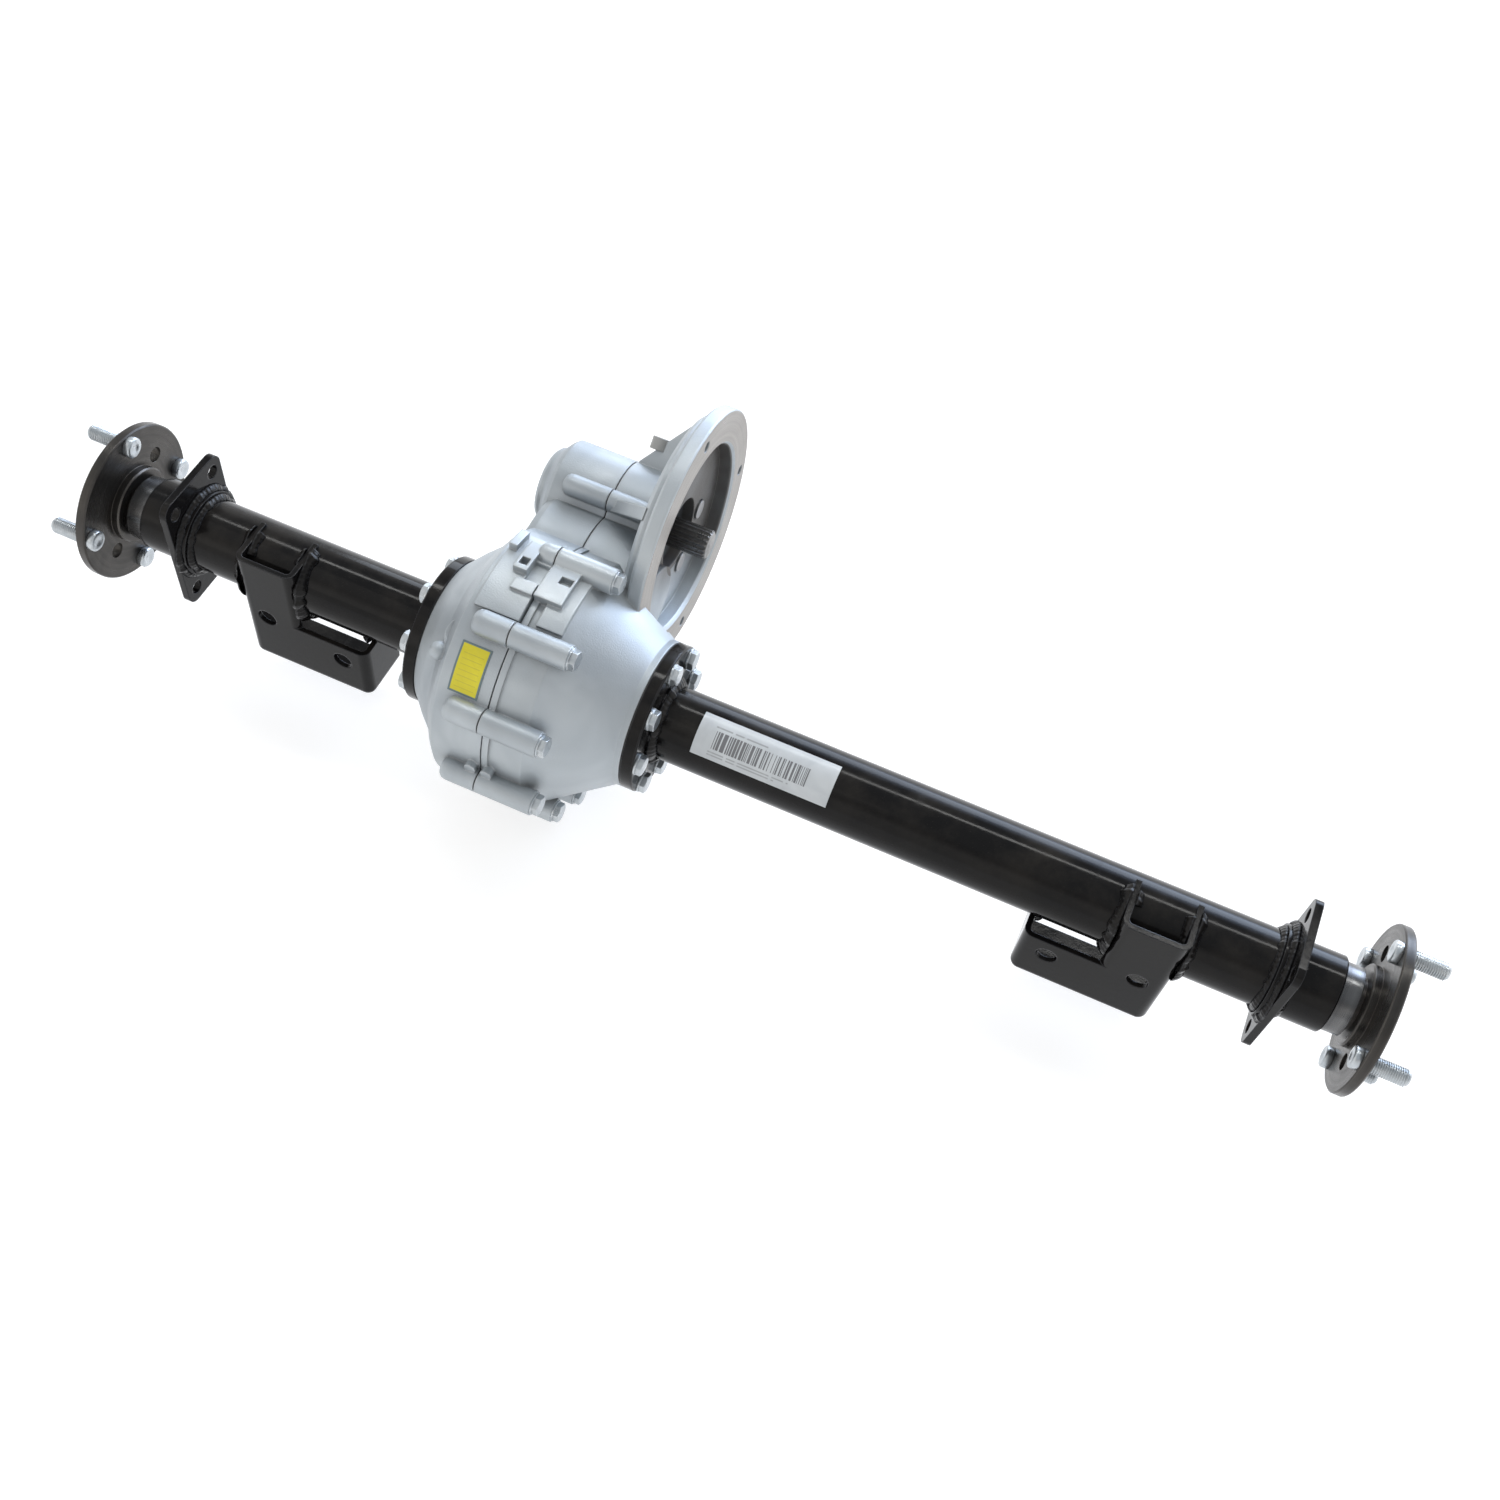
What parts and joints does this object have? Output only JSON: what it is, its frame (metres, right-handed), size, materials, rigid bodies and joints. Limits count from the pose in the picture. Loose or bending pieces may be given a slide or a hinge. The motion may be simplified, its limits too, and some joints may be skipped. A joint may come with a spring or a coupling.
{
  "type": "axle housing",
  "caption": "Rear drive axle with a two-piece gear case, bolted axle tubes, saddle brackets, brake plates, wheel hubs and a bell for a motor.",
  "frame": {"origin": "centre of the left hub's outer face, on the axle's axis", "axes": "+X along the axle from the left hub to the right hub; -Y is the outward normal of the saddle brackets' webs; +Z completes the frame"},
  "size_m": [0.9983, 0.3273, 0.2454],
  "materials": {
    "black_paint": "gloss",
    "cast_aluminium": "satin",
    "hub_steel": "satin",
    "zinc_steel": "satin",
    "plain_steel": "satin",
    "seal_rubber": "matte",
    "gasket": "matte",
    "bearing_steel": "polished",
    "gear_steel": "satin",
    "diff_iron": "matte",
    "bronze": "satin",
    "spline_steel": "satin",
    "dark_plastic": "matte",
    "yellow_label": "satin",
    "white_label": "satin"
  },
  "bodies": {
    "housing": {"left_axle_tube": "black_paint", "right_axle_tube": "black_paint", "left_tube_flange": "black_paint", "right_tube_flange": "black_paint", "left_brake_plate": "black_paint", "right_brake_plate": "black_paint", "left_saddle_bracket": "black_paint", "right_saddle_bracket": "black_paint", "left_case_half": "cast_aluminium", "right_case_half": "cast_aluminium", "left_flange_bolts": "zinc_steel", "right_flange_bolts": "zinc_steel", "case_bolts": "zinc_steel", "bell_screws": "zinc_steel", "fill_plug": "zinc_steel", "drain_plug": "zinc_steel", "left_hub_seal": "seal_rubber", "right_hub_seal": "seal_rubber", "input_seal": "seal_rubber", "left_flange_gasket": "gasket", "right_flange_gasket": "gasket", "case_gasket": "gasket", "left_hub_bearing": "bearing_steel", "right_hub_bearing": "bearing_steel", "left_differential_bearing": "bearing_steel", "right_differential_bearing": "bearing_steel", "left_intermediate_bearing": "bearing_steel", "right_intermediate_bearing": "bearing_steel", "left_input_bearing": "bearing_steel", "right_input_bearing": "bearing_steel", "breather": "dark_plastic", "yellow_label": "yellow_label", "white_label": "white_label"},
    "carrier": {"differential_case": "diff_iron", "differential_cover": "diff_iron", "differential_cover_screws": "gear_steel", "ring_gear": "gear_steel", "ring_gear_screws": "gear_steel", "cross_pin": "gear_steel", "spider_washers": "bronze", "left_side_washer": "bronze", "right_side_washer": "bronze"},
    "left_axle": {"left_half_shaft": "hub_steel", "left_wheel_studs": "zinc_steel", "left_bearing_collar": "plain_steel", "left_side_gear": "gear_steel"},
    "right_axle": {"right_half_shaft": "hub_steel", "right_wheel_studs": "zinc_steel", "right_bearing_collar": "plain_steel", "right_side_gear": "gear_steel"},
    "top_spider": {"top_spider_gear": "gear_steel"},
    "bottom_spider": {"bottom_spider_gear": "gear_steel"},
    "intermediate": {"intermediate_shaft": "gear_steel", "intermediate_gear": "gear_steel"},
    "input": {"input_shaft": "spline_steel"}
  },
  "joints": [
    {"name": "carrier_spin", "type": "hinge", "parent": "housing", "child": "carrier", "pos_m": [0.372, 0, 0], "axis": [1, 0, 0], "continuous": true},
    {"name": "left_diff", "type": "hinge", "parent": "carrier", "child": "left_axle", "pos_m": [0.18, 0, 0], "axis": [1, 0, 0], "continuous": true},
    {"name": "right_diff", "type": "hinge", "parent": "carrier", "child": "right_axle", "pos_m": [0.66, 0, 0], "axis": [1, 0, 0], "continuous": true},
    {"name": "top_spider_spin", "type": "hinge", "parent": "carrier", "child": "top_spider", "pos_m": [0.372, 0, 0.025], "axis": [0, 0, 1], "continuous": true},
    {"name": "bottom_spider_spin", "type": "hinge", "parent": "carrier", "child": "bottom_spider", "pos_m": [0.372, 0, -0.025], "axis": [0, 0, 1], "continuous": true},
    {"name": "intermediate_spin", "type": "hinge", "parent": "housing", "child": "intermediate", "pos_m": [0.34, 0.07458, 0.01915], "axis": [1, 0, 0], "continuous": true},
    {"name": "input_spin", "type": "hinge", "parent": "housing", "child": "input", "pos_m": [0.35, 0.12597, 0.04203], "axis": [1, 0, 0], "continuous": true}
  ],
  "couplings": [
    {"joint": "right_diff", "follows": "left_diff", "ratio": -1},
    {"joint": "top_spider_spin", "follows": "left_diff", "ratio": 1.4},
    {"joint": "bottom_spider_spin", "follows": "left_diff", "ratio": -1.4},
    {"joint": "intermediate_spin", "follows": "carrier_spin", "ratio": -4.5},
    {"joint": "input_spin", "follows": "carrier_spin", "ratio": 12.375}
  ]
}
